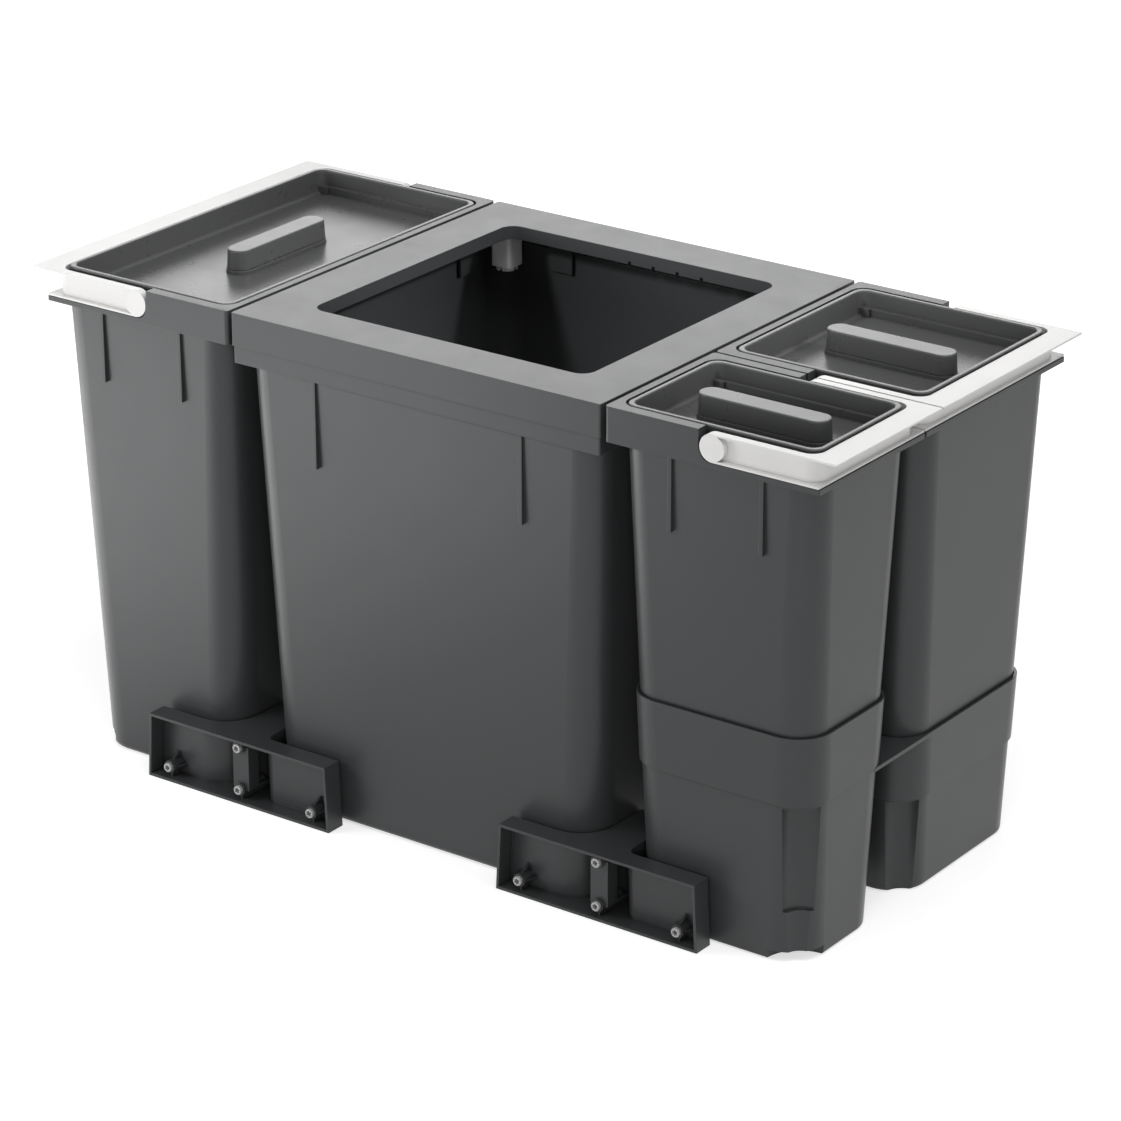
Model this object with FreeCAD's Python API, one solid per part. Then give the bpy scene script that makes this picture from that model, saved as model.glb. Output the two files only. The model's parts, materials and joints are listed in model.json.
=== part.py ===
"""Bin insert set for a wide pull-out waste drawer.

A row of bins stands in the drawer: a tall bin on the left, a large bin with a
bag frame in the middle, and two shorter bins on the right in a moulded riser
base. Two spacers on the front close the gaps between the bins.
Units are millimetres. X runs along the row, Y to the back, Z up. The origin is
on the floor, under the middle of the whole set.
"""
import FreeCAD
import Part

import math
import os

from FreeCAD import Vector

# ---- the row ----
BIN_HEIGHT = 417.5        # floor to the level top of every rim and lid
ROW_DEPTH = 348.0         # front to back over the rims
MIDDLE_WIDTH = 350.0      # bag frame of the middle bin
MODULE_GAP = 4.0          # between the bag frame and the side bins
SIDE_WIDTH = 186.5        # side bin over its ledge, from its inner edge outwards
FRONT_RIGHT_DEPTH = 143.0
RIGHT_GAP = 2.0           # between the front right and the rear right bin

# ---- moulded bin bodies ----
WALL = 2.5
DRAFT = 1.7               # degrees, every wall of every body
RIM_OVERHANG = 6.3        # rim beyond the body wall just below it
CORNER_TOP = 23.0         # vertical corners of a body, at its rim
CORNER_BOTTOM = 30.0      # the same corners at the floor
FOOT_ROUND = 5.0          # rounded edge along the bottom of a body
RIB_WIDTH = 3.5           # stacking ribs under the rim
RIB_PROUD = 1.8
SIDE_RIB_LENGTH = 60.0
SIDE_RIB_SPACING = 80.0
MIDDLE_RIB_LENGTH = 73.0
MIDDLE_RIB_SPACING = 197.0
NOTCH_RADIUS = 16.0       # raised corners in the bottom of the tall left bin
NOTCH_HEIGHT = 13.0

# ---- rim of the side bins ----
SKIRT_HEIGHT = 28.0       # closed inner half of the rim
SKIRT_WALL = 2.5
SKIRT_CORNER = 3.0
LEDGE_THICKNESS = 4.0     # flat ledge that carries the handle
LEDGE_CORNER = 1.0
COLLAR_WALL = 2.2         # upright collar that carries the lid
GROOVE = 1.8              # open groove between the lid and the rim top

# ---- lids and their grips ----
LID_INSET_INNER = 8.0     # lid edge from the inner edge of the rim
LID_INSET_OUTER = 9.0     # lid edge from the outer edge of the ledge
LID_INSET_END = 11.5      # lid edge from the front and the back of the rim
LID_CORNER = 10.5
LID_LIP = 2.2             # lip over the collar
LIP_THICKNESS = 2.0
LID_WALL = 2.0
LID_DEPTH = 20.0          # tray floor below the rim
TRAY_DRAFT = 1.4          # tray wall leans in by this much at its floor
TRAY_ROUND = 3.0
TRAY_LEDGE = 1.8          # ledge along the two long walls of the tray
TRAY_LEDGE_HEIGHT = 7.0
CORNER_PAD_LENGTH = 9.0   # thicker ends of that ledge
CORNER_PAD_DEPTH = 4.5
LID_CLEARANCE = 0.4       # tray wall inside the collar
SEAT = 0.2                # parts that rest on each other
GRIP_LENGTH = 114.0
GRIP_WIDTH = 22.0
GRIP_WALL = 2.0
GRIP_DRAFT = 0.9
PLINTH_HEIGHT = 3.5       # raised foot on the tray that carries the grip
PLINTH_EDGE = 0.6
TENON_HEIGHT = 3.0        # inside the grip, locates it
GRIP_DROP = 0.2           # grip top below the rim

# ---- swing handles ----
HANDLE_HEIGHT = 22.1
HANDLE_DROP = 1.4         # handle top below the rim
HANDLE_GAP = 4.4          # lid edge to the two arms
HANDLE_WEB = 1.8
GRIP_GAP = 1.6            # lid edge to the grip along the outer side
GRIP_WEB = 3.4
HANDLE_CORNER = 11.0      # inside the two outer corners of the web
FLANGE = 1.6
FLANGE_REACH = 14.0       # upper flange beyond the ledge
LOWER_FLANGE_SET_BACK = 0.8
PIVOT_FROM_INNER = 94.5   # pivot from the inner edge of the rim
PIN_RADIUS = 4.0
PIN_CLEARANCE = 0.06
PIN_END_GAP = 0.3
EYE_ARC = 10.2            # arc where the flat handle end meets the recess
BEARING_RADIUS = 8.0
STOP_GAP = 1.0            # handle end to the edge of the skirt
BEARING_GAP = 0.6         # handle arm to the bearing on the collar

# ---- rim and bag frame of the middle bin ----
FRAME_HEIGHT = 27.0
FRAME_WALL = 2.5
FRAME_CORNER = 1.5
OPENING_MARGIN = 44.0
OPENING_CORNER = 12.0
OPENING_LIP = 11.5
LIP_NOTCHES = 4           # small notches in the lower edge of the back lip
LIP_NOTCH_FIRST = -11.5
LIP_NOTCH_STEP = 23.3
LIP_NOTCH_WIDTH = 3.0
LIP_NOTCH_HEIGHT = 2.5
BAND_HEIGHT = 13.8
BAND_INSET = 1.0
TAB_WIDTH = 22.0
TAB_THICKNESS = 2.5
TAB_DROP = 18.0           # below the lower edge of the frame
TAB_CLEARANCE = 1.5
TAB_SPACING_X = 204.0
TAB_SPACING_Y = 230.0
POST_SIZE = 19.5
POST_CORNER = 3.0
POST_FROM_EDGE = 31.0
POST_DROP = 40.5
POST_TIP_RADIUS = 9.0
POST_TIP_DROP = 3.5
POST_TIP_SLOT = 3.5       # cross slot in the tip of a post
POST_PEG_RADIUS = 5.0
POST_PEG_LENGTH = 12.0

# ---- riser base under the right bins ----
FRONT_SEAT_HEIGHT = 134.0  # floor of the front socket, level with the rear rim
REAR_SEAT_HEIGHT = 83.0
FRONT_SOCKET_DEPTH = 54.0
SOCKET_CLEARANCE = 0.5
BASE_WALL = 2.5
BASE_STEP = 2.0            # pedestal inside the band above it
WEB_THICKNESS = 3.0
GROOVE_RADIUS = 18.0       # upright hollow in the front right corners
GROOVE_SHALLOW = 3.0       # the hollow is shallower near the floor
GROOVE_SHALLOW_HEIGHT = 42.0
SCALLOP_RADIUS = 31.0
SCALLOP_HEIGHT = 8.0
REAR_NOTCH_RADIUS = 17.0
REAR_NOTCH_HEIGHT = 12.0

# ---- spacers ----
SPACER_WIDTH = 188.0
SPACER_HEIGHT = 56.0
SPACER_PROUD = 7.6         # spacer front before the front of the bins
SPACER_END_DEPTH = 18.1
SPACER_WALL = 2.2
SPACER_DRAFT = 3.0
SPACER_FIT = 0.35          # nose to the bins and the base beside it
NOSE_REACH = 88.0
NOSE_END_ROUND = 6.0
FLANK_RADIUS = 31.2        # hollow flank around the bin on its left
TIGHT_RADIUS = 8.0         # hollow corner on its right
BOSS_RADIUS = 5.25
BOSS_SET_BACK = 3.0
BOSS_SPACING_X = 74.0
BOSS_HEIGHT = 11.5
BOSS_SPACING_Z = 37.0
CENTRE_BOSS_LENGTH = 30.0
SLEEVE_RADIUS = 3.75
SLEEVE_FIT = 0.05
SLEEVE_LENGTH = 15.0
SCREW_HOLE_RADIUS = 1.75
SCREW_HOLE_DEPTH = 13.0
COLUMN_WIDTH = 16.0
COLUMN_DEPTH = 13.0
RIB_THICKNESS = 1.6
GUSSET_HEIGHT = 7.0
FIN_THICKNESS = 1.6       # level fins at the sides of the bosses
CENTRE_FIN_REACH = 2.5
CENTRE_FIN_LENGTH = 26.0
END_FIN_REACH = 4.0

# ---- places that follow from the sizes above ----
FRONT = (SPACER_PROUD - ROW_DEPTH) / 2.0       # front of the rims
BACK = FRONT + ROW_DEPTH
SPACER_FRONT = FRONT - SPACER_PROUD
SIDE_INNER = MIDDLE_WIDTH / 2.0 + MODULE_GAP
SIDE_OUTER = SIDE_INNER + SIDE_WIDTH
HANDLE_TIP = SIDE_OUTER + FLANGE_REACH
RIGHT_SPLIT = FRONT + FRONT_RIGHT_DEPTH
SPACER_X = MIDDLE_WIDTH / 2.0 + MODULE_GAP / 2.0
LEDGE_BOTTOM = BIN_HEIGHT - SKIRT_HEIGHT
LEDGE_TOP = LEDGE_BOTTOM + LEDGE_THICKNESS
COLLAR_TOP = BIN_HEIGHT - LIP_THICKNESS - SEAT
PIVOT_X = SIDE_INNER + PIVOT_FROM_INNER
HANDLE_TOP = BIN_HEIGHT - HANDLE_DROP
HANDLE_BOTTOM = HANDLE_TOP - HANDLE_HEIGHT
PIVOT_Z = HANDLE_TOP - HANDLE_HEIGHT / 2.0
FRAME_BOTTOM = BIN_HEIGHT - FRAME_HEIGHT
MIDDLE_RIM = FRAME_BOTTOM - SEAT
MIDDLE_BAND_BOTTOM = MIDDLE_RIM - BAND_HEIGHT
SLOPE = math.tan(math.radians(DRAFT))
TRAY_FLOOR = BIN_HEIGHT - LID_DEPTH

# outlines in plan: x low, x high, y low, y high
MIDDLE_OUTLINE = (-MIDDLE_WIDTH / 2.0, MIDDLE_WIDTH / 2.0, FRONT, BACK)
LONG_SIDE = (SIDE_INNER, SIDE_OUTER, FRONT, BACK)
FRONT_RIGHT = (SIDE_INNER, SIDE_OUTER, FRONT, RIGHT_SPLIT)
REAR_RIGHT = (SIDE_INNER, SIDE_OUTER, RIGHT_SPLIT + RIGHT_GAP, BACK)


def inset(outline, by):
    """Outline drawn in by the same amount on all four sides."""
    x_low, x_high, y_low, y_high = outline
    return (x_low + by, x_high - by, y_low + by, y_high - by)


def rounded_wire(outline, radius, z):
    """Closed rectangle with round corners at height z."""
    x_low, x_high, y_low, y_high = outline
    centres = [
        (x_high - radius, y_low + radius),
        (x_high - radius, y_high - radius),
        (x_low + radius, y_high - radius),
        (x_low + radius, y_low + radius),
    ]
    arcs = []
    for number, (x, y) in enumerate(centres):
        start = math.radians(90.0 * number - 90.0)
        circle = Part.Circle(Vector(x, y, z), Vector(0, 0, 1), radius)
        arcs.append(Part.Arc(circle, start, start + math.pi / 2.0).toShape())
    edges = []
    for number, arc in enumerate(arcs):
        following = arcs[(number + 1) % len(arcs)]
        edges.append(arc)
        edges.append(Part.makeLine(arc.lastVertex().Point, following.firstVertex().Point))
    return Part.Wire(edges)


def prism(outline, radius, z_low, z_high):
    """Upright block with round corners."""
    face = Part.Face(rounded_wire(outline, radius, z_low))
    return face.extrude(Vector(0, 0, z_high - z_low))


def box(x_low, x_high, y_low, y_high, z_low, z_high):
    size = (x_high - x_low, y_high - y_low, z_high - z_low)
    return Part.makeBox(size[0], size[1], size[2], Vector(x_low, y_low, z_low))


def frustum(low, low_radius, z_low, high, high_radius, z_high):
    """Drafted block between two outlines with round corners."""
    wires = [rounded_wire(low, low_radius, z_low), rounded_wire(high, high_radius, z_high)]
    return Part.makeLoft(wires, True, True)


def upright(x, y, radius, z_low, z_high):
    return Part.makeCylinder(radius, z_high - z_low, Vector(x, y, z_low), Vector(0, 0, 1))


def along_y(x, y_low, y_high, z, radius):
    return Part.makeCylinder(radius, y_high - y_low, Vector(x, y_low, z), Vector(0, 1, 0))


def edges_at(shape, z):
    """Edges of a shape that lie in the level plane at height z."""
    near = 1e-4
    found = []
    for edge in shape.Edges:
        bounds = edge.BoundBox
        if abs(bounds.ZMin - z) < near and abs(bounds.ZMax - z) < near:
            found.append(edge)
    return found


def rounded_at(shape, z, radius):
    return shape.makeFillet(radius, edges_at(shape, z))


def mirrored(shape):
    """The same part on the left of the row."""
    return shape.mirror(Vector(0, 0, 0), Vector(1, 0, 0))


def corner_radius(z, z_rim):
    """Vertical corner of a body at height z."""
    return CORNER_TOP + (CORNER_BOTTOM - CORNER_TOP) * (z_rim - z) / z_rim


def body_inset(z, z_rim):
    """Distance from the rim edge in to the outer wall of a body at height z."""
    return RIM_OVERHANG + (z_rim - z) * SLOPE


def body_block(outline, z_low, z_high, z_rim, extra):
    """Drafted block that follows a body; extra is positive inwards."""
    low = inset(outline, body_inset(z_low, z_rim) + extra)
    high = inset(outline, body_inset(z_high, z_rim) + extra)
    low_radius = corner_radius(z_low, z_rim) - extra
    high_radius = corner_radius(z_high, z_rim) - extra
    return frustum(low, low_radius, z_low, high, high_radius, z_high)


def stacking_ribs(outline, z_rim, length, centre, spacing):
    """Upright ribs under the rim, front and back, ended square below."""
    ribs = []
    face_inset = RIM_OVERHANG - RIB_PROUD
    y_front = outline[2] + face_inset
    y_back = outline[3] - face_inset
    reach = RIB_PROUD + length * SLOPE + WALL / 2.0
    for x in (centre - spacing / 2.0, centre + spacing / 2.0):
        x_low = x - RIB_WIDTH / 2.0
        x_high = x + RIB_WIDTH / 2.0
        ribs.append(box(x_low, x_high, y_front, y_front + reach, z_rim - length, z_rim))
        ribs.append(box(x_low, x_high, y_back - reach, y_back, z_rim - length, z_rim))
    return ribs


def hollow_body(outline, z_floor, z_rim, ribs, notches):
    """Bin body open at its rim, with its ribs and its raised bottom corners."""
    outer = rounded_at(body_block(outline, z_floor, z_rim, z_rim, 0.0), z_floor, FOOT_ROUND)
    outer = outer.fuse(ribs)
    inner_low = z_floor + WALL
    inner = body_block(outline, inner_low, z_rim, z_rim, WALL)
    inner = rounded_at(inner, inner_low, FOOT_ROUND)
    for x, y in notches:
        outer = outer.cut(upright(x, y, NOTCH_RADIUS, z_floor, z_floor + NOTCH_HEIGHT))
        roof = z_floor + NOTCH_HEIGHT + WALL
        inner = inner.cut(upright(x, y, NOTCH_RADIUS + WALL, z_floor, roof))
    return outer.cut(inner)


def lid_outline(outline):
    x_low, x_high, y_low, y_high = outline
    return (
        x_low + LID_INSET_INNER,
        x_high - LID_INSET_OUTER,
        y_low + LID_INSET_END,
        y_high - LID_INSET_END,
    )


def side_rim(outline):
    """Ledge, collar and closed skirt of a side bin."""
    x_low, x_high, y_low, y_high = outline
    lid = lid_outline(outline)
    collar_in = LID_LIP - LID_CLEARANCE
    collar_out = collar_in - COLLAR_WALL
    collar = prism(inset(lid, collar_out), LID_CORNER - collar_out, LEDGE_BOTTOM, COLLAR_TOP)
    cheek_radius = HANDLE_HEIGHT / 2.0 + STOP_GAP
    skirt_end = PIVOT_X - cheek_radius

    ledge = prism(outline, LEDGE_CORNER, LEDGE_BOTTOM, LEDGE_TOP)
    ledge = ledge.cut(box(x_low, skirt_end, y_low, y_high, LEDGE_BOTTOM, LEDGE_TOP))
    shoulder = prism(inset(outline, RIM_OVERHANG), CORNER_TOP, LEDGE_BOTTOM, LEDGE_TOP)

    skirt = prism(outline, SKIRT_CORNER, LEDGE_BOTTOM, BIN_HEIGHT)
    skirt = skirt.cut(box(skirt_end, x_high, y_low, y_high, LEDGE_BOTTOM, BIN_HEIGHT))
    pocket = box(
        x_low + SKIRT_WALL, skirt_end - SKIRT_WALL,
        y_low + SKIRT_WALL, y_high - SKIRT_WALL,
        LEDGE_BOTTOM, BIN_HEIGHT - SKIRT_WALL,
    )
    skirt = skirt.cut(pocket)
    groove = prism(inset(lid, -GROOVE), LID_CORNER + GROOVE, COLLAR_TOP, BIN_HEIGHT)
    skirt = skirt.cut(groove)
    cheeks = box(
        skirt_end - SKIRT_WALL, PIVOT_X, y_low, y_high, LEDGE_TOP - LEDGE_CORNER, PIVOT_Z
    )
    between = inset(outline, SKIRT_WALL)
    cheeks = cheeks.cut(box(x_low, x_high, between[2], between[3], LEDGE_BOTTOM, BIN_HEIGHT))
    cheeks = cheeks.cut(along_y(PIVOT_X, y_low, y_high, PIVOT_Z, cheek_radius))

    rim = collar.fuse([ledge, shoulder, skirt, cheeks])
    bearings = []
    bearing_low = y_low + LID_INSET_END - HANDLE_GAP + BEARING_GAP
    bearing_high = y_low + LID_INSET_END + collar_in
    bearings.append(along_y(PIVOT_X, bearing_low, bearing_high, PIVOT_Z, BEARING_RADIUS))
    mirror_sum = y_low + y_high
    far_low = mirror_sum - bearing_high
    far_high = mirror_sum - bearing_low
    bearings.append(along_y(PIVOT_X, far_low, far_high, PIVOT_Z, BEARING_RADIUS))
    rim = rim.fuse(bearings)
    opening = prism(inset(lid, collar_in), LID_CORNER - collar_in, LEDGE_BOTTOM, BIN_HEIGHT)
    rim = rim.cut(opening)
    bore = PIN_RADIUS + PIN_CLEARANCE
    rim = rim.cut(along_y(PIVOT_X, bearing_low, bearing_high, PIVOT_Z, bore))
    return rim.cut(along_y(PIVOT_X, far_low, far_high, PIVOT_Z, bore))


def side_bin(outline, z_floor, notches):
    ribs = stacking_ribs(outline, LEDGE_BOTTOM, SIDE_RIB_LENGTH, PIVOT_X, SIDE_RIB_SPACING)
    body = hollow_body(outline, z_floor, LEDGE_BOTTOM, ribs, notches)
    return body.fuse(side_rim(outline)).removeSplitter()


def stadium(centre, length, width, z_low, z_high, along_row, lean):
    """Upright block with fully round ends; it leans in by lean at its top."""
    x, y = centre
    wires = []
    for z, less in ((z_low, 0.0), (z_high, lean)):
        half = length / 2.0 - less
        side = width / 2.0 - less
        if along_row:
            outline = (x - half, x + half, y - side, y + side)
        else:
            outline = (x - side, x + side, y - half, y + half)
        wires.append(rounded_wire(outline, side - 0.01, z))
    return Part.makeLoft(wires, True, True)


def grip_place(outline):
    lid = lid_outline(outline)
    return ((lid[0] + lid[1]) / 2.0, (lid[2] + lid[3]) / 2.0)


def tray_corners(wall):
    """Lengths along X of the thicker ends of a tray ledge."""
    length = CORNER_PAD_LENGTH + LID_WALL / 2.0 + TRAY_DRAFT
    return [(wall[0], wall[0] + length), (wall[1] - length, wall[1])]


def lid(outline, along_row):
    """Inset tray with a rolled rim, and the plinth that carries its grip."""
    edge = lid_outline(outline)
    lip_bottom = BIN_HEIGHT - LIP_THICKNESS
    tray_bottom = TRAY_FLOOR - LID_WALL
    rim = prism(edge, LID_CORNER, lip_bottom, BIN_HEIGHT)
    tray = frustum(
        inset(edge, LID_LIP + TRAY_DRAFT), LID_CORNER - LID_LIP, tray_bottom,
        inset(edge, LID_LIP), LID_CORNER - LID_LIP, lip_bottom,
    )
    tray = rounded_at(tray, tray_bottom, TRAY_ROUND)
    inner = LID_LIP + LID_WALL
    hollow = frustum(
        inset(edge, inner + TRAY_DRAFT), LID_CORNER - LID_LIP, TRAY_FLOOR,
        inset(edge, inner), LID_CORNER - LID_LIP, BIN_HEIGHT,
    )
    hollow = rounded_at(hollow, TRAY_FLOOR, TRAY_ROUND)
    whole = rim.fuse(tray).removeSplitter().cut(hollow)
    whole = rounded_at(whole, BIN_HEIGHT, 0.45 * LIP_THICKNESS)
    wall = inset(edge, LID_LIP + LID_WALL / 2.0)
    ledges = []
    proud = LID_WALL / 2.0 + TRAY_DRAFT + TRAY_LEDGE
    pad = LID_WALL / 2.0 + TRAY_DRAFT + CORNER_PAD_DEPTH
    for reach, ends in ((proud, [wall[:2]]), (pad, tray_corners(wall))):
        for start, finish in ends:
            ledges.append((start, finish, wall[2], wall[2] + reach))
            ledges.append((start, finish, wall[3] - reach, wall[3]))
    low = TRAY_FLOOR - LID_WALL / 2.0
    high = TRAY_FLOOR + TRAY_LEDGE_HEIGHT
    bars = [box(x0, x1, y0, y1, low, high) for x0, x1, y0, y1 in ledges]
    keep = prism(wall, LID_CORNER - LID_LIP, low, high)
    bars = bars[0].fuse(bars[1:]).common(keep)
    whole = whole.fuse(bars)
    centre = grip_place(outline)
    plinth = stadium(
        centre, GRIP_LENGTH + 2.0 * PLINTH_EDGE, GRIP_WIDTH + 2.0 * PLINTH_EDGE,
        TRAY_FLOOR - LID_WALL / 2.0, TRAY_FLOOR + PLINTH_HEIGHT, along_row, 0.0,
    )
    less = 2.0 * (GRIP_WALL + SEAT)
    tenon_top = TRAY_FLOOR + PLINTH_HEIGHT + TENON_HEIGHT
    tenon = stadium(
        centre, GRIP_LENGTH - less, GRIP_WIDTH - less,
        TRAY_FLOOR + PLINTH_HEIGHT, tenon_top, along_row, GRIP_DRAFT,
    )
    return whole.fuse([plinth, tenon])


def lid_grip(outline, along_row):
    """Hollow grip that snaps over the tenon of its lid."""
    centre = grip_place(outline)
    bottom = TRAY_FLOOR + PLINTH_HEIGHT
    top = BIN_HEIGHT - GRIP_DROP
    outer = stadium(centre, GRIP_LENGTH, GRIP_WIDTH, bottom, top, along_row, GRIP_DRAFT)
    outer = rounded_at(outer, top, GRIP_WALL / 2.0)
    less = 2.0 * GRIP_WALL
    inner = stadium(
        centre, GRIP_LENGTH - less, GRIP_WIDTH - less,
        bottom, top - GRIP_WALL, along_row, GRIP_DRAFT,
    )
    return outer.cut(inner)


def handle_space(outline, more_side, more_end):
    """Room inside the bow of a handle, widened by the wall around it."""
    x_low, x_high, y_low, y_high = lid_outline(outline)
    side = GRIP_GAP + more_side
    end = HANDLE_GAP + more_end
    return (x_low - side, x_high + side, y_low - end, y_high + end)


def handle(outline):
    """Channel-shaped swing handle around three sides of a lid."""
    x_low, x_high, y_low, y_high = outline
    arm = LID_INSET_END - HANDLE_GAP
    lower_tip = x_high - LOWER_FLANGE_SET_BACK
    under = HANDLE_TOP - FLANGE
    over = HANDLE_BOTTOM + FLANGE

    upper = box(PIVOT_X, HANDLE_TIP, y_low, y_high, under, HANDLE_TOP)
    lower = box(PIVOT_X, lower_tip, y_low, y_high, HANDLE_BOTTOM, over)
    web_edge = handle_space(outline, GRIP_WEB, HANDLE_WEB)
    web = prism(web_edge, HANDLE_CORNER + HANDLE_WEB, HANDLE_BOTTOM, HANDLE_TOP)
    web = web.cut(box(x_low, PIVOT_X, y_low, y_high, HANDLE_BOTTOM, HANDLE_TOP))
    radius = HANDLE_HEIGHT / 2.0
    parts = [lower, web]
    ends = box(x_low, PIVOT_X, y_low, y_high, HANDLE_BOTTOM, HANDLE_TOP)
    for near in (y_low, y_high - arm):
        parts.append(along_y(PIVOT_X, near, near + arm, PIVOT_Z, radius).common(ends))
        parts.append(along_y(PIVOT_X, near, near + arm, PIVOT_Z, EYE_ARC))
    whole = upper.fuse(parts)
    space = prism(handle_space(outline, 0.0, 0.0), HANDLE_CORNER, HANDLE_BOTTOM, HANDLE_TOP)
    pins = []
    reach = HANDLE_GAP - PIN_END_GAP
    pins.append(along_y(PIVOT_X, y_low + arm, y_low + arm + reach, PIVOT_Z, PIN_RADIUS))
    pins.append(along_y(PIVOT_X, y_high - arm - reach, y_high - arm, PIVOT_Z, PIN_RADIUS))
    return whole.cut(space).fuse(pins).removeSplitter()


def handle_lengths(outline):
    """Front arm, grip and back arm, each with the depth it covers from front to back."""
    y_low, y_high = handle_space(outline, 0.0, 0.0)[2:]
    front_end = y_low + HANDLE_CORNER
    back_end = y_high - HANDLE_CORNER
    return [
        ("front_arm", outline[2], front_end),
        ("grip", front_end, back_end),
        ("back_arm", back_end, outline[3]),
    ]


def middle_bin():
    """Large bin with the band that carries the bag frame."""
    ribs = stacking_ribs(
        MIDDLE_OUTLINE, MIDDLE_BAND_BOTTOM, MIDDLE_RIB_LENGTH, 0.0, MIDDLE_RIB_SPACING
    )
    body = hollow_body(MIDDLE_OUTLINE, 0.0, MIDDLE_BAND_BOTTOM, ribs, [])
    outer = inset(MIDDLE_OUTLINE, BAND_INSET)
    band = prism(outer, FRAME_CORNER, MIDDLE_BAND_BOTTOM, MIDDLE_RIM)
    under = prism(inset(outer, WALL), FRAME_CORNER, MIDDLE_BAND_BOTTOM, MIDDLE_RIM - WALL)
    neck = prism(
        inset(MIDDLE_OUTLINE, RIM_OVERHANG), CORNER_TOP, MIDDLE_BAND_BOTTOM, MIDDLE_RIM
    )
    mouth = prism(
        inset(MIDDLE_OUTLINE, RIM_OVERHANG + WALL), CORNER_TOP - WALL,
        MIDDLE_BAND_BOTTOM, MIDDLE_RIM,
    )
    rim = band.cut(under).fuse(neck).cut(mouth)
    return body.fuse(rim).removeSplitter()


def frame_tabs():
    """Locating tabs that hang inside the wall of the middle bin, two a side."""
    tabs = []
    top = BIN_HEIGHT - FRAME_WALL / 2.0
    bottom = FRAME_BOTTOM - TAB_DROP
    outer = inset(MIDDLE_OUTLINE, RIM_OVERHANG + WALL + TAB_CLEARANCE)
    x_low, x_high, y_low, y_high = outer
    middle_y = (FRONT + BACK) / 2.0
    half = TAB_WIDTH / 2.0
    for side in (-1.0, 1.0):
        x = side * TAB_SPACING_X / 2.0
        y = middle_y + side * TAB_SPACING_Y / 2.0
        tabs.append(box(x - half, x + half, y_low, y_low + TAB_THICKNESS, bottom, top))
        tabs.append(box(x - half, x + half, y_high - TAB_THICKNESS, y_high, bottom, top))
        tabs.append(box(x_low, x_low + TAB_THICKNESS, y - half, y + half, bottom, top))
        tabs.append(box(x_high - TAB_THICKNESS, x_high, y - half, y + half, bottom, top))
    return tabs


def post_places():
    x_low, x_high, y_low, y_high = inset(MIDDLE_OUTLINE, POST_FROM_EDGE)
    return [(x_low, y_low), (x_high, y_low), (x_low, y_high), (x_high, y_high)]


def bag_frame():
    """Square cover with the filling hole; it holds the bag on the rim."""
    shell = prism(MIDDLE_OUTLINE, FRAME_CORNER, FRAME_BOTTOM, BIN_HEIGHT)
    below = BIN_HEIGHT - FRAME_WALL
    shell = shell.cut(prism(inset(MIDDLE_OUTLINE, FRAME_WALL), FRAME_CORNER, FRAME_BOTTOM, below))
    hole = inset(MIDDLE_OUTLINE, OPENING_MARGIN)
    lip_bottom = BIN_HEIGHT - OPENING_LIP
    lip = prism(inset(hole, -FRAME_WALL), OPENING_CORNER + FRAME_WALL, lip_bottom, below)
    parts = [lip] + frame_tabs()
    for x, y in post_places():
        parts.append(upright(x, y, POST_PEG_RADIUS, below - POST_PEG_LENGTH, below))
    whole = shell.fuse(parts)
    cuts = [prism(hole, OPENING_CORNER, FRAME_BOTTOM, BIN_HEIGHT)]
    lip_back = hole[3] + FRAME_WALL
    for number in range(LIP_NOTCHES):
        x = LIP_NOTCH_FIRST + number * LIP_NOTCH_STEP
        half = LIP_NOTCH_WIDTH / 2.0
        notch_top = lip_bottom + LIP_NOTCH_HEIGHT
        cuts.append(box(x - half, x + half, hole[3], lip_back, lip_bottom, notch_top))
    return whole.cut(cuts).removeSplitter()


def frame_corner_posts():
    """Light corner posts on the pegs under the bag frame."""
    posts = []
    top = BIN_HEIGHT - FRAME_WALL
    bottom = BIN_HEIGHT - POST_DROP
    half = POST_SIZE / 2.0
    for x, y in post_places():
        block = prism((x - half, x + half, y - half, y + half), POST_CORNER, bottom, top)
        tip_bottom = bottom - POST_TIP_DROP
        tip = upright(x, y, POST_TIP_RADIUS, tip_bottom, bottom)
        slot = POST_TIP_SLOT / 2.0
        for reach_x, reach_y in ((POST_TIP_RADIUS, slot), (slot, POST_TIP_RADIUS)):
            cross = box(x - reach_x, x + reach_x, y - reach_y, y + reach_y, tip_bottom, bottom)
            tip = tip.cut(cross)
        hole = upright(x, y, POST_PEG_RADIUS + SLEEVE_FIT, top - POST_PEG_LENGTH - SEAT, top)
        posts.append(block.fuse(tip).cut(hole))
    return Part.makeCompound(posts)


def base_inset(z):
    """Distance from the rim edge in to a pedestal of the riser base at height z."""
    return body_inset(z, LEDGE_BOTTOM) + BASE_STEP - SOCKET_CLEARANCE - BASE_WALL


def socket(outline, seat, rim):
    """Outer block of one cup of the riser base, and the hollows inside it."""
    skin = SOCKET_CLEARANCE + BASE_WALL
    band_bottom = seat - BASE_WALL
    band = body_block(outline, band_bottom, rim, LEDGE_BOTTOM, -skin)
    stand = body_block(outline, 0.0, band_bottom, LEDGE_BOTTOM, BASE_STEP - skin)
    stand = rounded_at(stand, 0.0, FOOT_ROUND / 2.0)
    cup = body_block(outline, seat, rim, LEDGE_BOTTOM, -SOCKET_CLEARANCE)
    cup = rounded_at(cup, seat, FOOT_ROUND)
    under = body_block(outline, 0.0, band_bottom, LEDGE_BOTTOM, BASE_STEP - SOCKET_CLEARANCE)
    return band, stand, cup, under


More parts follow.
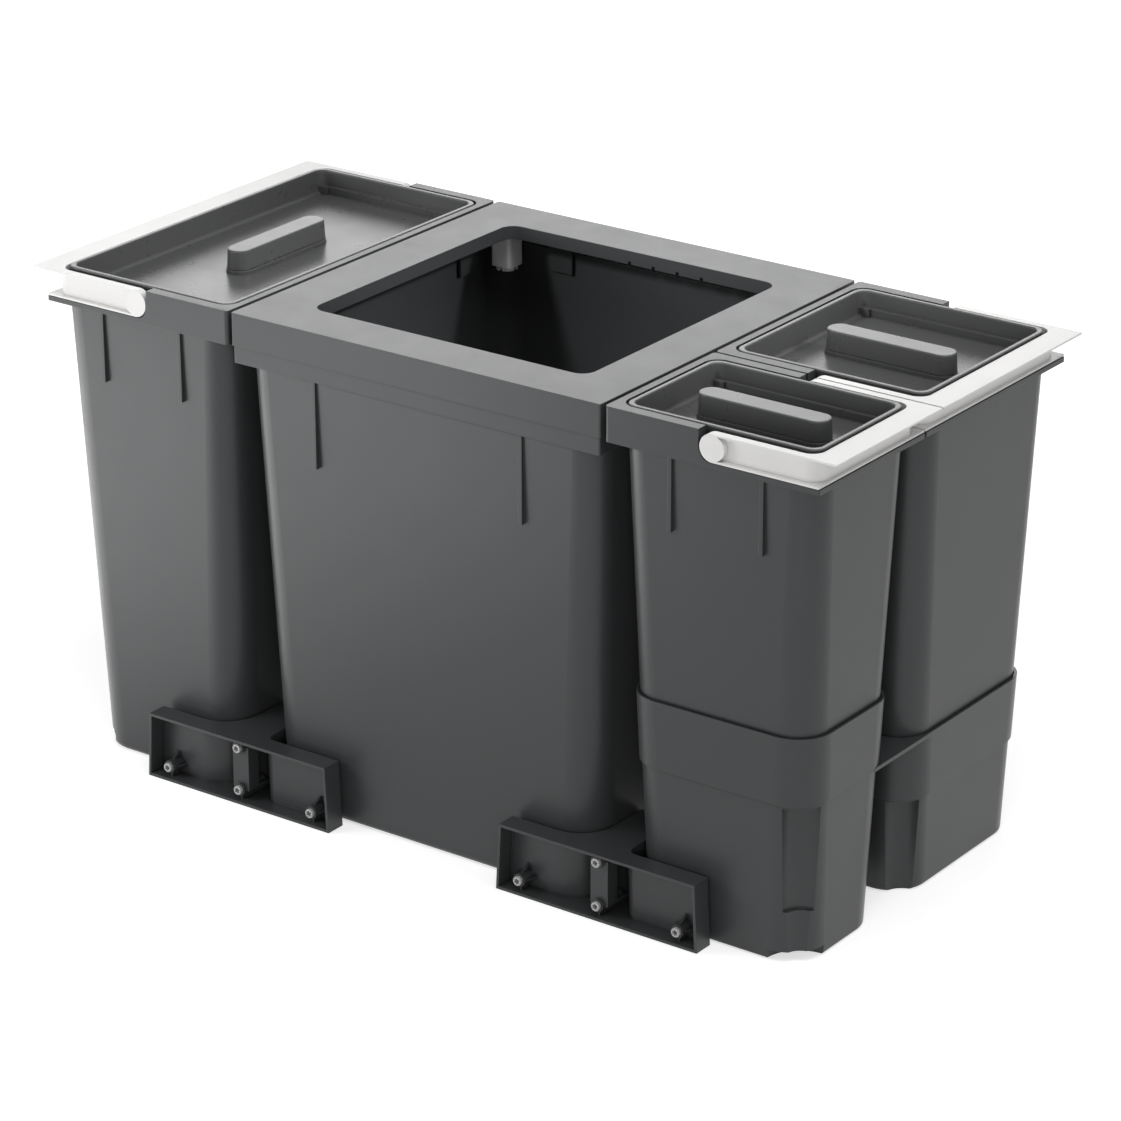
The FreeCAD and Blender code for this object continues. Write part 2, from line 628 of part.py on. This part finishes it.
def riser_base():
    """Two sockets at different heights, joined by a level web."""
    front_rim = FRONT_SEAT_HEIGHT + FRONT_SOCKET_DEPTH
    rear_rim = FRONT_SEAT_HEIGHT
    front = socket(FRONT_RIGHT, FRONT_SEAT_HEIGHT, front_rim)
    rear = socket(REAR_RIGHT, REAR_SEAT_HEIGHT, rear_rim)
    skin = SOCKET_CLEARANCE + BASE_WALL
    side = body_inset(FRONT_SEAT_HEIGHT, LEDGE_BOTTOM) - skin
    web_radius = corner_radius(FRONT_SEAT_HEIGHT, LEDGE_BOTTOM)
    web = box(
        SIDE_INNER + side, SIDE_OUTER - side,
        RIGHT_SPLIT - side - web_radius, RIGHT_SPLIT + RIGHT_GAP + side + web_radius,
        FRONT_SEAT_HEIGHT - WEB_THICKNESS, FRONT_SEAT_HEIGHT,
    )
    stand_inset = base_inset(0.0)
    corner_x = SIDE_OUTER - stand_inset
    front_y = FRONT + stand_inset
    rear_y = RIGHT_SPLIT + RIGHT_GAP + stand_inset
    back_y = BACK - stand_inset
    shallow = GROOVE_RADIUS - GROOVE_SHALLOW
    front_top = FRONT_SEAT_HEIGHT - BASE_WALL
    rear_top = REAR_SEAT_HEIGHT - BASE_WALL
    cuts = [
        (corner_x, front_y, SCALLOP_RADIUS, 0.0, SCALLOP_HEIGHT),
        (corner_x, front_y, shallow, 0.0, GROOVE_SHALLOW_HEIGHT),
        (corner_x, front_y, GROOVE_RADIUS, GROOVE_SHALLOW_HEIGHT, front_top - BASE_WALL),
        (corner_x, rear_y, GROOVE_RADIUS, 0.0, rear_top - BASE_WALL),
        (corner_x, back_y, REAR_NOTCH_RADIUS, 0.0, REAR_NOTCH_HEIGHT),
    ]
    whole = front[0].fuse([front[1], rear[0], rear[1], web])
    hollow = front[3].fuse(rear[3])
    for x, y, radius, low, high in cuts:
        whole = whole.cut(upright(x, y, radius, low, high))
        hollow = hollow.cut(upright(x, y, radius + BASE_WALL, 0.0, high + BASE_WALL))
    whole = whole.cut([front[2], rear[2], hollow])
    return whole.removeSplitter()


def spacer_wire(z, shrink, front_extra):
    """Spacer outline at height z, drawn in by shrink all round."""
    half = SPACER_WIDTH / 2.0 - z * math.tan(math.radians(SPACER_DRAFT)) - shrink
    fit = MODULE_GAP / 2.0 - SPACER_FIT - shrink
    left = -(fit + body_inset(z, MIDDLE_BAND_BOTTOM))
    right = fit + base_inset(z)
    front = SPACER_FRONT - front_extra
    back = SPACER_FRONT + SPACER_END_DEPTH - shrink
    tip = SPACER_FRONT + NOSE_REACH - shrink
    flank = FLANK_RADIUS + shrink
    tight = TIGHT_RADIUS + shrink
    end = max(NOSE_END_ROUND - shrink, SPACER_WALL)

    def line(start, finish):
        return Part.makeLine(Vector(start[0], start[1], z), Vector(finish[0], finish[1], z))

    def arc(centre, radius, start, finish):
        """Arc through three points, from one angle to the other, in degrees."""
        points = []
        for angle in (start, (start + finish) / 2.0, finish):
            turn = math.radians(angle)
            x = centre[0] + radius * math.cos(turn)
            y = centre[1] + radius * math.sin(turn)
            points.append(Vector(x, y, z))
        return Part.Arc(points[0], points[1], points[2]).toShape()

    edges = [
        line((-half, front), (half, front)),
        line((half, front), (half, back)),
        line((half, back), (right + tight, back)),
        arc((right + tight, back + tight), tight, 270.0, 180.0),
        line((right, back + tight), (right, tip - end)),
        arc((right - end, tip - end), end, 0.0, 90.0),
        line((right - end, tip), (left + end, tip)),
        arc((left + end, tip - end), end, 90.0, 180.0),
        line((left, tip - end), (left, back + flank)),
        arc((left - flank, back + flank), flank, 0.0, -90.0),
        line((left - flank, back), (-half, back)),
        line((-half, back), (-half, front)),
    ]
    return Part.Wire(edges)


def boss_places():
    """Screw bosses of a spacer: x, z and how far each runs back."""
    end_length = SPACER_END_DEPTH - SPACER_WALL / 2.0
    upper = BOSS_HEIGHT + BOSS_SPACING_Z
    return [
        (-BOSS_SPACING_X, BOSS_HEIGHT, end_length),
        (BOSS_SPACING_X, BOSS_HEIGHT, end_length),
        (0.0, BOSS_HEIGHT, CENTRE_BOSS_LENGTH),
        (0.0, upper, CENTRE_BOSS_LENGTH),
    ]


def gusset(x, z, rise):
    """Triangular rib from a boss to the wall behind it."""
    half = RIB_THICKNESS / 2.0
    near = SPACER_FRONT + BOSS_SET_BACK + BOSS_RADIUS / 2.0
    far = SPACER_FRONT + SPACER_END_DEPTH - SPACER_WALL / 2.0
    start = z + math.copysign(BOSS_RADIUS * 0.8, rise)
    points = [
        Vector(x - half, near, start),
        Vector(x - half, far, start + rise),
        Vector(x - half, far, start),
        Vector(x - half, near, start),
    ]
    return Part.Face(Part.makePolygon(points)).extrude(Vector(RIB_THICKNESS, 0, 0))


def end_fins(x, z):
    """Level fin that widens from a boss to the wall behind it."""
    near = SPACER_FRONT + BOSS_SET_BACK + BOSS_RADIUS / 2.0
    far = SPACER_FRONT + SPACER_END_DEPTH - SPACER_WALL / 2.0
    low = z - FIN_THICKNESS / 2.0
    wide = BOSS_RADIUS + END_FIN_REACH
    points = [
        Vector(x - BOSS_RADIUS, near, low),
        Vector(x + BOSS_RADIUS, near, low),
        Vector(x + wide, far, low),
        Vector(x - wide, far, low),
        Vector(x - BOSS_RADIUS, near, low),
    ]
    return Part.Face(Part.makePolygon(points)).extrude(Vector(0, 0, FIN_THICKNESS))


def spacer():
    """Open-fronted spacer with a nose that reaches between two bins."""
    outer = Part.makeLoft([spacer_wire(0.0, 0.0, 0.0), spacer_wire(SPACER_HEIGHT, 0.0, 0.0)], True, True)
    inner_wires = []
    for z in (SPACER_WALL, SPACER_HEIGHT - SPACER_WALL):
        inner_wires.append(spacer_wire(z, SPACER_WALL, SPACER_WALL))
    shell = outer.cut(Part.makeLoft(inner_wires, True, True))
    start = SPACER_FRONT + BOSS_SET_BACK
    parts = []
    for x, z, length in boss_places():
        parts.append(along_y(x, start, SPACER_FRONT + length, z, BOSS_RADIUS))
    for x in (-BOSS_SPACING_X, BOSS_SPACING_X):
        parts.append(gusset(x, BOSS_HEIGHT, GUSSET_HEIGHT))
        half = RIB_THICKNESS / 2.0
        back = SPACER_FRONT + SPACER_END_DEPTH - SPACER_WALL / 2.0
        low = SPACER_WALL / 2.0
        parts.append(box(x - half, x + half, start + BOSS_RADIUS / 2.0, back, low, BOSS_HEIGHT))
        parts.append(end_fins(x, BOSS_HEIGHT))
    centre_start = SPACER_FRONT + BOSS_SET_BACK + BOSS_RADIUS / 2.0
    fin_half = BOSS_RADIUS + CENTRE_FIN_REACH
    for z in (BOSS_HEIGHT, BOSS_HEIGHT + BOSS_SPACING_Z):
        parts.append(box(
            -fin_half, fin_half, centre_start, centre_start + CENTRE_FIN_LENGTH,
            z - FIN_THICKNESS / 2.0, z + FIN_THICKNESS / 2.0,
        ))
    column_half = COLUMN_WIDTH / 2.0
    parts.append(box(
        -column_half, column_half, centre_start, centre_start + COLUMN_DEPTH,
        BOSS_HEIGHT, BOSS_HEIGHT + BOSS_SPACING_Z,
    ))
    half = RIB_THICKNESS / 2.0
    parts.append(box(
        -half, half, centre_start, SPACER_FRONT + NOSE_REACH - SPACER_WALL / 2.0,
        SPACER_WALL / 2.0, SPACER_HEIGHT - SPACER_WALL / 2.0,
    ))
    whole = shell.fuse(parts)
    for x, z, _ in boss_places():
        bore = SLEEVE_RADIUS + SLEEVE_FIT
        whole = whole.cut(along_y(x, SPACER_FRONT, SPACER_FRONT + SLEEVE_LENGTH, z, bore))
    return whole.removeSplitter()


def spacer_sleeves():
    """Light sleeves pressed into the screw bosses."""
    sleeves = []
    for x, z, _ in boss_places():
        sleeve = along_y(x, SPACER_FRONT, SPACER_FRONT + SLEEVE_LENGTH, z, SLEEVE_RADIUS)
        hole = along_y(x, SPACER_FRONT, SPACER_FRONT + SCREW_HOLE_DEPTH, z, SCREW_HOLE_RADIUS)
        sleeves.append(sleeve.cut(hole))
    return Part.makeCompound(sleeves)


def moved(shape, x):
    copy = shape.copy()
    copy.translate(Vector(x, 0, 0))
    return copy


def save(name, shape):
    if not shape.isValid():
        raise ValueError(name + " is not a valid shape")
    shape.exportStep("parts/" + name + ".step")
    print(name, len(shape.Solids), "solids", round(shape.Volume / 1000.0, 2), "cm3")


def save_handle(name, outline, on_left):
    """One moulding, kept as its grip and its two arms."""
    whole = handle(outline)
    for part, y_low, y_high in handle_lengths(outline):
        length = box(SIDE_INNER, HANDLE_TIP, y_low, y_high, HANDLE_BOTTOM, HANDLE_TOP)
        piece = whole.common(length)
        if on_left:
            piece = mirrored(piece)
        save(name + "_handle_" + part, piece)


def main():
    os.makedirs("parts", exist_ok=True)
    left_corner = SIDE_OUTER - body_inset(0.0, LEDGE_BOTTOM)
    left_inset = body_inset(0.0, LEDGE_BOTTOM)
    notches = [(left_corner, FRONT + left_inset), (left_corner, BACK - left_inset)]
    save("left_bin", mirrored(side_bin(LONG_SIDE, 0.0, notches)))
    save_handle("left", LONG_SIDE, True)
    save("left_lid", mirrored(lid(LONG_SIDE, False)))
    save("left_lid_grip", mirrored(lid_grip(LONG_SIDE, False)))
    right = (
        ("front_right", FRONT_RIGHT, FRONT_SEAT_HEIGHT + SEAT),
        ("rear_right", REAR_RIGHT, REAR_SEAT_HEIGHT + SEAT),
    )
    for name, outline, z_floor in right:
        save(name + "_bin", side_bin(outline, z_floor, []))
        save_handle(name, outline, False)
        save(name + "_lid", lid(outline, True))
        save(name + "_lid_grip", lid_grip(outline, True))
    save("riser_base", riser_base())
    save("middle_bin", middle_bin())
    save("bag_frame", bag_frame())
    save("frame_corner_posts", frame_corner_posts())
    block = spacer()
    sleeves = spacer_sleeves()
    for name, x in (("spacer_left", -SPACER_X), ("spacer_right", SPACER_X)):
        save(name, moved(block, x))
        save(name + "_sleeves", moved(sleeves, x))


main()
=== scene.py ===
"""Studio picture of a bin insert set for a wide pull-out waste drawer.

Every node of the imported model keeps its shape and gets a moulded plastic. Only
the screw sleeves of the two spacers are replaced, by sleeves with a notched
recess. Units are metres, in the frame of the model.
"""

import json
import math

import bpy
from mathutils import Matrix, Vector


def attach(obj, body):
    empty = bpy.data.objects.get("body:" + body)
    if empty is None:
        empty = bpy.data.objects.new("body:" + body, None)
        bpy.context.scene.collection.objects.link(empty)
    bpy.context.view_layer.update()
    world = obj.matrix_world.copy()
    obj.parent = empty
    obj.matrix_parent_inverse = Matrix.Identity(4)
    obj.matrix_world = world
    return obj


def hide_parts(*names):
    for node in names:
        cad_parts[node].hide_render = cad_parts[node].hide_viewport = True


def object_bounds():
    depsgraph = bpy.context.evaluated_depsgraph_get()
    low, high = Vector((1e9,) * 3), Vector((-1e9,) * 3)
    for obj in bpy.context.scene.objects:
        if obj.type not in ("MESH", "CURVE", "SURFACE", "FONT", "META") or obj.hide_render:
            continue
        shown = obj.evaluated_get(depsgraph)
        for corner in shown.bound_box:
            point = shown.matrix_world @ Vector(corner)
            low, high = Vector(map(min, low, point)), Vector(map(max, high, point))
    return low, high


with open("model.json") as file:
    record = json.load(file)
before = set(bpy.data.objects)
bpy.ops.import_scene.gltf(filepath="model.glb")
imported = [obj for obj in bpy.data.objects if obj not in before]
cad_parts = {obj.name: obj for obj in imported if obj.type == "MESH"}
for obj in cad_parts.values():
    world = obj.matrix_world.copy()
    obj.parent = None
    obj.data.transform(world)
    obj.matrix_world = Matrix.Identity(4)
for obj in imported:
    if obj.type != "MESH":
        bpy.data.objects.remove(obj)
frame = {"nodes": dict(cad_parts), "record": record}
cad_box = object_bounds()


# ---- node helpers ----
def is_socket(value):
    return hasattr(value, "is_linked")


class Nodes:
    """Short way to write the node tree of a material or a world."""

    def __init__(self, owner, output):
        owner.use_nodes = True
        self.tree = owner.node_tree
        self.tree.nodes.clear()
        self.out = self.add(output)

    def add(self, kind, inputs=None, **settings):
        """New node; the inputs are sockets to link or values to set, by name or number."""
        node = self.tree.nodes.new(kind)
        for name, value in settings.items():
            setattr(node, name, value)
        for key, value in (inputs or {}).items():
            if is_socket(value):
                self.tree.links.new(value, node.inputs[key])
            else:
                node.inputs[key].default_value = value
        return node

    def surface(self, shader):
        self.tree.links.new(shader, self.out.inputs["Surface"])

    def object_place(self):
        return self.add("ShaderNodeTexCoord").outputs["Object"]

    def noise(self, coords, scale, detail, roughness):
        inputs = {"Vector": coords, "Scale": scale, "Detail": detail, "Roughness": roughness}
        return self.add("ShaderNodeTexNoise", inputs).outputs["Fac"]

    def spread(self, value, low, high, start=0.0, end=1.0):
        """Value from start to end, spread from low to high and clamped there."""
        inputs = {
            "Value": value, "From Min": start, "From Max": end, "To Min": low, "To Max": high,
        }
        return self.add("ShaderNodeMapRange", inputs).outputs["Result"]

    def mix(self, share, a, b):
        """Colour mix; a and b are sockets or colours."""
        node = self.add("ShaderNodeMix", {0: share}, data_type="RGBA")
        sockets = [socket for socket in node.inputs if socket.type == "RGBA"]
        for socket, value in zip(sockets, (a, b)):
            if is_socket(value):
                self.tree.links.new(value, socket)
            else:
                socket.default_value = (*value, 1.0)
        return [socket for socket in node.outputs if socket.type == "RGBA"][0]

    def maths(self, operation, a, b):
        return self.add("ShaderNodeMath", {0: a, 1: b}, operation=operation).outputs[0]

    def vector_value(self, operation, *vectors):
        """Number that a vector operation gives."""
        inputs = dict(enumerate(vectors))
        return self.add("ShaderNodeVectorMath", inputs, operation=operation).outputs["Value"]

    def bump(self, height, distance, strength, normal):
        inputs = {"Height": height, "Distance": distance, "Strength": strength, "Normal": normal}
        return self.add("ShaderNodeBump", inputs).outputs["Normal"]


# ---- moulded plastic ----
# each noise is its scale, its detail and its roughness
FLOW_NOISE = (7.0, 3.0, 0.55)          # slow change of tone
SPECK_NOISE = (900.0, 2.0, 0.6)
SPECK_SHARE = 0.10
SCUFF_NOISE = (26.0, 6.0, 0.62)
SCUFF_STRETCH = (1.0, 1.0, 14.0)
SCUFF_TURN = (0.3, 0.5, 0.2)
SCUFF_RANGE = (0.62, 0.72)             # noise where a scuff begins and is full
SCUFF_LEVEL = 0.35
PATCH_NOISE = (34.0, 4.0, 0.6)         # duller and shinier patches
PATCH_SHINIER = 0.05
PATCH_DULLER = 0.06
SINK_NOISE = (5.0, 1.0, 0.4)           # shallow waves of the wall
SINK_DEPTH = 0.004
SINK_STRENGTH = 0.06
GRAIN_DETAIL = (2.0, 0.7)
GRAIN_DEPTH = 0.0004
SAMPLES = 4                            # of the rounded edges and the painted shade in gaps
EDGE_PALENESS_MOST = 0.5
# painted shade: how far near surfaces darken the colour, in gaps between parts, creases and inner
# corners
GAP_SHADE_REACH = 0.003
SHADE_BLACK = (0.0, 0.0, 0.0)
PLASTIC_IOR = 1.49


def moulded(name, colour, dark, pale, roughness, grain, grain_scale, specular=0.5, edge=0.0007,
            edge_paleness=1.6, scuffs=0.12, gap_shade_keep=0.35):
    """Injection-moulded plastic: fine grain, flow marks, paler edges, light scuffs, painted shade
    in gaps and creases.

    edge is the radius that the edges look rounded by, edge_paleness how pale they are,
    and gap_shade_keep the share of its colour that the surface keeps where the painted shade is
    darkest.
    """
    material = bpy.data.materials.new(name)
    n = Nodes(material, "ShaderNodeOutputMaterial")
    coords = n.object_place()

    tone = n.mix(n.noise(coords, *FLOW_NOISE), dark, colour)
    specks = n.spread(n.noise(coords, *SPECK_NOISE), 0.0, SPECK_SHARE)
    tone = n.mix(specks, tone, pale)

    rounded = n.add("ShaderNodeBevel", {"Radius": edge}, samples=SAMPLES).outputs["Normal"]
    plain = n.add("ShaderNodeNewGeometry").outputs["Normal"]
    # the colour turns paler along the edges, as far as the rounded normal turns away from the
    # flat one
    turned = n.maths("SUBTRACT", 1.0, n.vector_value("DOT_PRODUCT", rounded, plain))
    paler_edges = n.maths("MINIMUM", n.maths("MULTIPLY", turned, edge_paleness), EDGE_PALENESS_MOST)
    tone = n.mix(paler_edges, tone, pale)

    # painted shade: the colour darkens towards black where other surfaces are near, in gaps
    # between parts, creases and inner corners
    near = n.add("ShaderNodeAmbientOcclusion", {"Distance": GAP_SHADE_REACH}, samples=SAMPLES)
    tone = n.mix(n.spread(near.outputs["AO"], gap_shade_keep, 1.0), SHADE_BLACK, tone)

    stretched = n.add(
        "ShaderNodeMapping", {"Vector": coords, "Scale": SCUFF_STRETCH, "Rotation": SCUFF_TURN},
    )
    scuff = n.noise(stretched.outputs["Vector"], *SCUFF_NOISE)
    scuff = n.spread(scuff, 0.0, SCUFF_LEVEL * scuffs, *SCUFF_RANGE)
    patch = n.noise(coords, *PATCH_NOISE)
    patch = n.spread(patch, roughness - PATCH_SHINIER, roughness + PATCH_DULLER)
    rough = n.maths("ADD", patch, scuff)

    sink = n.noise(coords, *SINK_NOISE)
    normal = n.bump(sink, SINK_DEPTH, SINK_STRENGTH, rounded)
    fine = n.noise(coords, grain_scale, *GRAIN_DETAIL)
    normal = n.bump(fine, GRAIN_DEPTH, grain, normal)

    shader = n.add("ShaderNodeBsdfPrincipled", {
        "Base Color": tone,
        "Roughness": rough,
        "Normal": normal,
        "Specular IOR Level": specular,
        "IOR": PLASTIC_IOR,
    })
    n.surface(shader.outputs["BSDF"])
    return material


FINISH = {
    "anthracite_plastic": moulded(
        "anthracite_moulded",
        (0.038, 0.0395, 0.041), (0.034, 0.0355, 0.037), (0.09, 0.092, 0.095),
        roughness=0.34, grain=0.12, grain_scale=2600.0, specular=0.30, gap_shade_keep=0.0,
    ),
    "lid_plastic": moulded(
        "lid_moulded",
        (0.080, 0.081, 0.082), (0.073, 0.074, 0.075), (0.13, 0.132, 0.134),
        roughness=0.28, grain=0.05, grain_scale=2600.0, specular=0.30,
        edge=0.0016, edge_paleness=0.2, scuffs=0.02, gap_shade_keep=0.1,
    ),
    "white_plastic": moulded(
        "white_handle",
        (0.745, 0.74, 0.731), (0.725, 0.72, 0.711), (0.78, 0.775, 0.77),
        roughness=0.36, grain=0.02, grain_scale=2200.0, specular=0.18,
        edge=0.0001, edge_paleness=0.2, gap_shade_keep=0.7,
    ),
    "post_plastic": moulded(
        "pale_post",
        (0.66, 0.66, 0.65), (0.60, 0.60, 0.59), (0.74, 0.74, 0.73),
        roughness=0.45, grain=0.08, grain_scale=2200.0,
    ),
    "sleeve_plastic": moulded(
        "pale_sleeve",
        (0.42, 0.42, 0.42), (0.36, 0.36, 0.36), (0.55, 0.55, 0.55),
        roughness=0.45, grain=0.05, grain_scale=2200.0,
    ),
}
for part in frame["record"]["subparts"]:
    node = frame["nodes"][part["node"]]
    for place in node.material_slots:
        place.material = FINISH[part["material_slot"]]


# ---- screw sleeves with a notched recess ----
SPACER_FRONT = -0.1778
SPACER_X = 0.177
SCREWS = ((-0.074, 0.0115), (0.074, 0.0115), (0.0, 0.0115), (0.0, 0.0485))   # x and z
SLEEVE_SIDES = 48
SLEEVE_LENGTH = 0.015
SLEEVE_RADIUS = 0.00375
SLEEVE_CHAMFER = 0.0003
HOLE_LENGTH = 0.013
HOLE_RADIUS = 0.00175
RECESS_DEPTH = 0.0012
RECESS_MARGIN = 0.00015    # recess beyond the hole, between the notches
NOTCHES = 6
NOTCH_DEPTH = 0.0007
NOTCH_FULLNESS = 0.6       # exponent; a smaller one makes a notch wider


def sleeve_turn(step):
    return 2.0 * math.pi * step / SLEEVE_SIDES


def sleeve_rings():
    """Rings of one sleeve, from the back around the front edge to the end of its hole."""

    def even(radius):
        return [radius] * SLEEVE_SIDES

    star = []
    for step in range(SLEEVE_SIDES):
        lobe = max(0.0, math.cos(NOTCHES * sleeve_turn(step))) ** NOTCH_FULLNESS
        star.append(HOLE_RADIUS + RECESS_MARGIN + NOTCH_DEPTH * lobe)
    return [
        (even(SLEEVE_RADIUS), SLEEVE_LENGTH),
        (even(SLEEVE_RADIUS), SLEEVE_CHAMFER),
        (even(SLEEVE_RADIUS - SLEEVE_CHAMFER), 0.0),
        (star, 0.0),
        (star, RECESS_DEPTH),
        (even(HOLE_RADIUS), RECESS_DEPTH),
        (even(HOLE_RADIUS), HOLE_LENGTH),
    ]


def sleeves(node, spacer_x):
    """The four sleeves of one spacer as one piece."""
    rings = sleeve_rings()
    points = []
    faces = []
    for x, z in SCREWS:
        base = len(points)
        for radii, depth in rings:
            for step, radius in enumerate(radii):
                turn = sleeve_turn(step)
                across = spacer_x + x + radius * math.sin(turn)
                points.append((across, SPACER_FRONT + depth, z + radius * math.cos(turn)))
        for ring in range(len(rings) - 1):
            low = base + ring * SLEEVE_SIDES
            high = low + SLEEVE_SIDES
            for step in range(SLEEVE_SIDES):
                after = (step + 1) % SLEEVE_SIDES
                faces.append((low + step, high + step, high + after, low + after))
        last = base + (len(rings) - 1) * SLEEVE_SIDES
        faces.append(tuple(range(base, base + SLEEVE_SIDES)))
        faces.append(tuple(reversed(range(last, last + SLEEVE_SIDES))))
    mesh = bpy.data.meshes.new(node + "_notched")
    mesh.from_pydata(points, [], faces)
    mesh.update()
    mesh.materials.append(FINISH["sleeve_plastic"])
    piece = bpy.data.objects.new(node + "_notched", mesh)
    bpy.context.collection.objects.link(piece)
    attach(piece, "drawer_spacers")
    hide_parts(node)


sleeves("spacer_left_sleeves", -SPACER_X)
sleeves("spacer_right_sleeves", SPACER_X)


# ---- floor ----
FLOOR_HALF = 14.0
FLOOR_DROP = 0.0005        # below the object, so that no faces coincide
FLOOR_NOISE = (1.5, 2.0, 0.5)
FLOOR_TONES = ((0.62, 0.62, 0.62), (0.65, 0.65, 0.65))
CAMERA_GLOW = (0.60, 0.90)     # added for the camera, near the object and far from it
CAMERA_GLOW_REACH = (0.5, 1.6)
MIRRORED_GLOW = 0.78       # added for reflections
# painted reflection: a glowing patch of floor, seen only in reflections, that puts a sheen on the
# fronts of the bins
SHEEN_PLACE = (-1.0, -0.62, 0.0)
SHEEN_RADIUS = 0.85
SHEEN_STRENGTH = 5.2


def floor_material():
    """Pale floor that keeps its shadows and is bright where it is mirrored.

    This glow for reflections is brightest around SHEEN_PLACE, which the fronts of the bins
    mirror: a painted reflection that puts a sheen on them.
    """
    material = bpy.data.materials.new("studio_floor")
    n = Nodes(material, "ShaderNodeOutputMaterial")
    coords = n.object_place()
    tone = n.mix(n.noise(coords, *FLOOR_NOISE), *FLOOR_TONES)
    diffuse = n.add("ShaderNodeBsdfDiffuse", {"Color": tone})
    rays = n.add("ShaderNodeLightPath").outputs

    # painted reflection: the floor glows around SHEEN_PLACE for reflections only, a painted sheen
    # on the fronts of the bins
    from_sheen = n.vector_value("DISTANCE", coords, SHEEN_PLACE)
    sheen = n.spread(from_sheen, SHEEN_STRENGTH, 0.0, 0.0, SHEEN_RADIUS)
    mirroring = n.maths("ADD", rays["Is Glossy Ray"], rays["Is Transmission Ray"])
    mirrored = n.maths("MULTIPLY", mirroring, n.maths("ADD", sheen, MIRRORED_GLOW))

    from_middle = n.vector_value("LENGTH", coords)
    seen = n.spread(from_middle, *CAMERA_GLOW, *CAMERA_GLOW_REACH)
    seen = n.maths("MULTIPLY", rays["Is Camera Ray"], seen)

    glow = n.add("ShaderNodeEmission", {"Strength": n.maths("ADD", seen, mirrored)})
    both = n.add("ShaderNodeAddShader", {0: diffuse.outputs["BSDF"], 1: glow.outputs["Emission"]})
    n.surface(both.outputs["Shader"])
    return material


def studio_floor():
    mesh = bpy.data.meshes.new("studio_floor")
    half = FLOOR_HALF
    corners = [(-half, -half, 0), (half, -half, 0), (half, half, 0), (-half, half, 0)]
    mesh.from_pydata(corners, [], [(0, 1, 2, 3)])
    floor = bpy.data.objects.new("studio_floor", mesh)
    bpy.context.collection.objects.link(floor)
    floor.location.z = cad_box[0][2] - FLOOR_DROP
    mesh.materials.append(floor_material())


# ---- lights ----
WORLD_LIGHT = 0.36
WORLD_SEEN = 1.0           # white, for the camera and for reflections


def world_light():
    world = bpy.data.worlds.new("studio_world")
    bpy.context.scene.world = world
    n = Nodes(world, "ShaderNodeOutputWorld")
    rays = n.add("ShaderNodeLightPath").outputs
    seen = n.maths("ADD", rays["Is Camera Ray"], rays["Is Glossy Ray"])
    seen = n.maths("ADD", seen, rays["Is Transmission Ray"])
    strength = n.spread(seen, WORLD_LIGHT, WORLD_SEEN)
    shell = n.add("ShaderNodeBackground", {"Strength": strength})
    n.surface(shell.outputs["Background"])


def lamp(name, kind, place, aim, power):
    """Lamp at a place, aimed at a point; gives its data."""
    data = bpy.data.lights.new(name, kind)
    data.energy = power
    light = bpy.data.objects.new(name, data)
    light.location = place
    direction = Vector(aim) - Vector(place)
    light.rotation_euler = direction.to_track_quat("-Z", "Y").to_euler()
    bpy.context.collection.objects.link(light)
    return data


def softbox(name, place, aim, size, power):
    data = lamp(name, "AREA", place, aim, power)
    data.shape = "RECTANGLE"
    data.size, data.size_y = size


def beam(name, place, aim, angle, radius, power):
    """Soft narrow light that reaches into the open bin."""
    data = lamp(name, "SPOT", place, aim, power)
    data.spot_size = math.radians(angle)
    data.spot_blend = 1.0
    data.shadow_soft_size = radius


studio_floor()
world_light()
softbox("key_left", (-0.80, -0.88, 0.54), (-0.24, -0.15, 0.18), (0.6, 0.36), 5.8)
softbox("gloss_back", (-2.2, 2.9, 1.75), (0.0, 0.0, 0.4), (2.6, 1.5), 32.5)
softbox("top", (0.75, -0.3, 2.4), (0.1, 0.0, 0.35), (1.5, 1.2), 25.0)
softbox("fill_front", (1.1, -1.7, 0.5), (0.15, -0.17, 0.2), (0.9, 0.6), 9.0)
softbox("fill_right", (2.6, 0.4, 1.3), (0.2, 0.0, 0.2), (1.6, 1.6), 8.6)
beam("into_bin_back", (-0.37, -1.60, 1.45), (0.04, 0.06, 0.40), 13.0, 0.16, 170.0)
beam("into_bin_left", (1.70, 0.47, 1.54), (-0.07, -0.01, 0.40), 11.0, 0.12, 190.0)


# ---- camera ----
LENS = 140.8               # millimetres
SENSOR_WIDTH = 36.0
CAMERA_PLACE = (1.9079, -2.6216, 1.5284)
CAMERA_FORWARD = (-0.5412, 0.7501, -0.3802)
CAMERA_RIGHT = (0.8110, 0.5851, 0.0)


def camera():
    data = bpy.data.cameras.new("camera")
    data.lens = LENS
    data.sensor_width = SENSOR_WIDTH
    eye = bpy.data.objects.new("camera", data)
    right = Vector(CAMERA_RIGHT).normalized()
    forward = Vector(CAMERA_FORWARD).normalized()
    up = right.cross(forward).normalized()
    turn = Matrix((right, up, -forward)).transposed()
    eye.matrix_world = Matrix.Translation(CAMERA_PLACE) @ turn.to_4x4()
    bpy.context.collection.objects.link(eye)
    bpy.context.scene.camera = eye


camera()
bpy.context.scene.view_settings.view_transform = "Standard"
